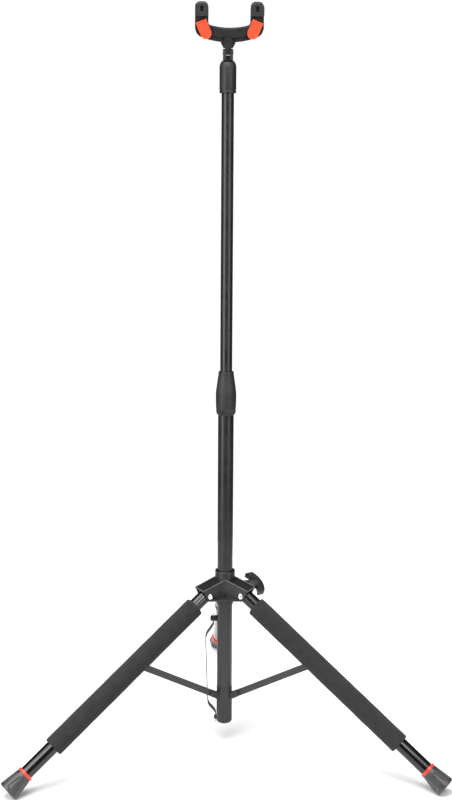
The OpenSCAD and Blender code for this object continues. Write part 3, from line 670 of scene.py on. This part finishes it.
# CAD nodes whose sharp edges are rounded: width in mm and number of segments
ROUNDED = {
    "leg_hub": (1.0, 4), "yoke_frame": (0.5, 3), "yoke_cover": (0.45, 3),
    "tip_cover_left": (1.3, 5), "gate_left": (0.4, 3),
    "tip_cover_right": (1.3, 5), "gate_right": (0.4, 3),
    "yoke_sleeve": (0.35, 3), "yoke_pin": (0.2, 3), "clamp_knob": (1.1, 4),
    "base_sleeve": (0.4, 3), "strap_button": (0.4, 3), "hub_liner": (0.3, 3),
    "left_brace": (0.35, 3), "left_bracket": (0.3, 3),
    "right_brace": (0.35, 3), "right_bracket": (0.3, 3),
    "rear_brace": (0.35, 3), "rear_bracket": (0.3, 3),
}


def make_pieces():
    """The new pieces, then the rounded edges of the CAD nodes that are carried."""
    for leg in ("left", "right"):
        foam_sleeve(leg)
    for leg in LEGS:
        rubber_foot(leg)
        ankle_ring(leg)
    twist_grip()
    hinge_fasteners("pivot_bolts", "leg_bolts", 4.9, 3.2, 1)
    hinge_fasteners("pivot_nuts", "leg_nuts", 4.7, 3.0, -1)
    hub_rims()
    hub_grain_panels()
    storage_strap()
    for node, (width, segments) in ROUNDED.items():
        round_edges(node, width, segments)


# ---------------------------------------------------------------- stage


def make_camera():
    """Camera at the height of the mast's upper half, two metres in front, looking slightly down."""
    data = bpy.data.cameras.new("camera")
    camera = bpy.data.objects.new("camera", data)
    bpy.context.scene.collection.objects.link(camera)
    data.sensor_width = 36
    data.lens = 57.9
    data.clip_end = 100
    pitch = math.radians(90 - 12.05)
    yaw = math.radians(-1.815)
    roll = math.radians(0.338)
    turn = Matrix.Rotation(yaw, 4, "Z") @ Matrix.Rotation(pitch, 4, "X")
    turn = turn @ Matrix.Rotation(roll, 4, "Z")
    camera.matrix_world = Matrix.Translation(AXIS + Vector((-0.0636, -2.0068, 1.0123))) @ turn
    bpy.context.scene.camera = camera


def area_light(name, place, target, size, size_y, power):
    """Softbox at a place, turned to a target."""
    data = bpy.data.lights.new(name, "AREA")
    data.shape = "RECTANGLE"
    data.size = size
    data.size_y = size_y
    data.energy = power
    light = bpy.data.objects.new(name, data)
    bpy.context.scene.collection.objects.link(light)
    light.location = place
    light.rotation_mode = "QUATERNION"
    light.rotation_quaternion = (Vector(target) - Vector(place)).to_track_quat("-Z", "Y")


def make_lights():
    """Softboxes left, right, in front and above, and a soft light from the whole ceiling."""
    area_light("left_box", (-1.35, -1.15, 0.97), (0, -0.1, 0.75), 1.0, 1.92, 30)
    area_light("right_box", (1.35, -1.5, 1.08), (0, -0.1, 0.8), 0.9, 2.1, 23)
    area_light("front_left_box", (-0.56, -1.72, 1.86), (0, -0.1, 0.3), 0.5, 0.5, 6.5)
    area_light("front_right_box", (0.5, -1.88, 1.66), (0, -0.1, 0.3), 0.36, 0.36, 8)
    area_light("top_box", (-0.3, -0.5, 2.6), (0, 0, 0.3), 1.6, 1.2, 52)
    data = bpy.data.lights.new("dome", "SUN")
    data.energy = 3.1
    data.angle = math.radians(70)
    dome = bpy.data.objects.new("dome", data)
    bpy.context.scene.collection.objects.link(dome)
    dome.rotation_euler = (math.radians(14), math.radians(-10), 0)


def make_world():
    """White behind the stand; dimmer where it is only seen in reflections, as a studio is."""
    world = bpy.data.worlds.new("studio")
    bpy.context.scene.world = world
    world.use_nodes = True
    tree = world.node_tree
    back = tree.nodes["Background"]
    path = tree.nodes.new("ShaderNodeLightPath")
    level = tree.nodes.new("ShaderNodeMapRange")
    level.inputs["To Min"].default_value = 0.07
    level.inputs["To Max"].default_value = 1.05
    tree.links.new(path.outputs["Is Camera Ray"], level.inputs["Value"])
    tree.links.new(level.outputs["Result"], back.inputs["Strength"])
    back.inputs["Color"].default_value = (1, 1, 1, 1)
    bpy.context.scene.view_settings.view_transform = "Standard"


def make_floor():
    """Pale round floor, no larger than its shadows need, so that little of it is mirrored."""
    bm = bmesh.new()
    bmesh.ops.create_circle(bm, cap_ends=True, segments=96, radius=0.95)
    mesh = bpy.data.meshes.new("floor")
    bm.to_mesh(mesh)
    bm.free()
    floor = bpy.data.objects.new("floor", mesh)
    bpy.context.scene.collection.objects.link(floor)
    mat = shader("floor_white", (0.74, 0.74, 0.74), 0.9, Specular_IOR_Level=0.0)
    mesh.materials.append(mat)


make_camera()
make_lights()
make_world()
make_floor()
dress_cad_nodes()
make_pieces()
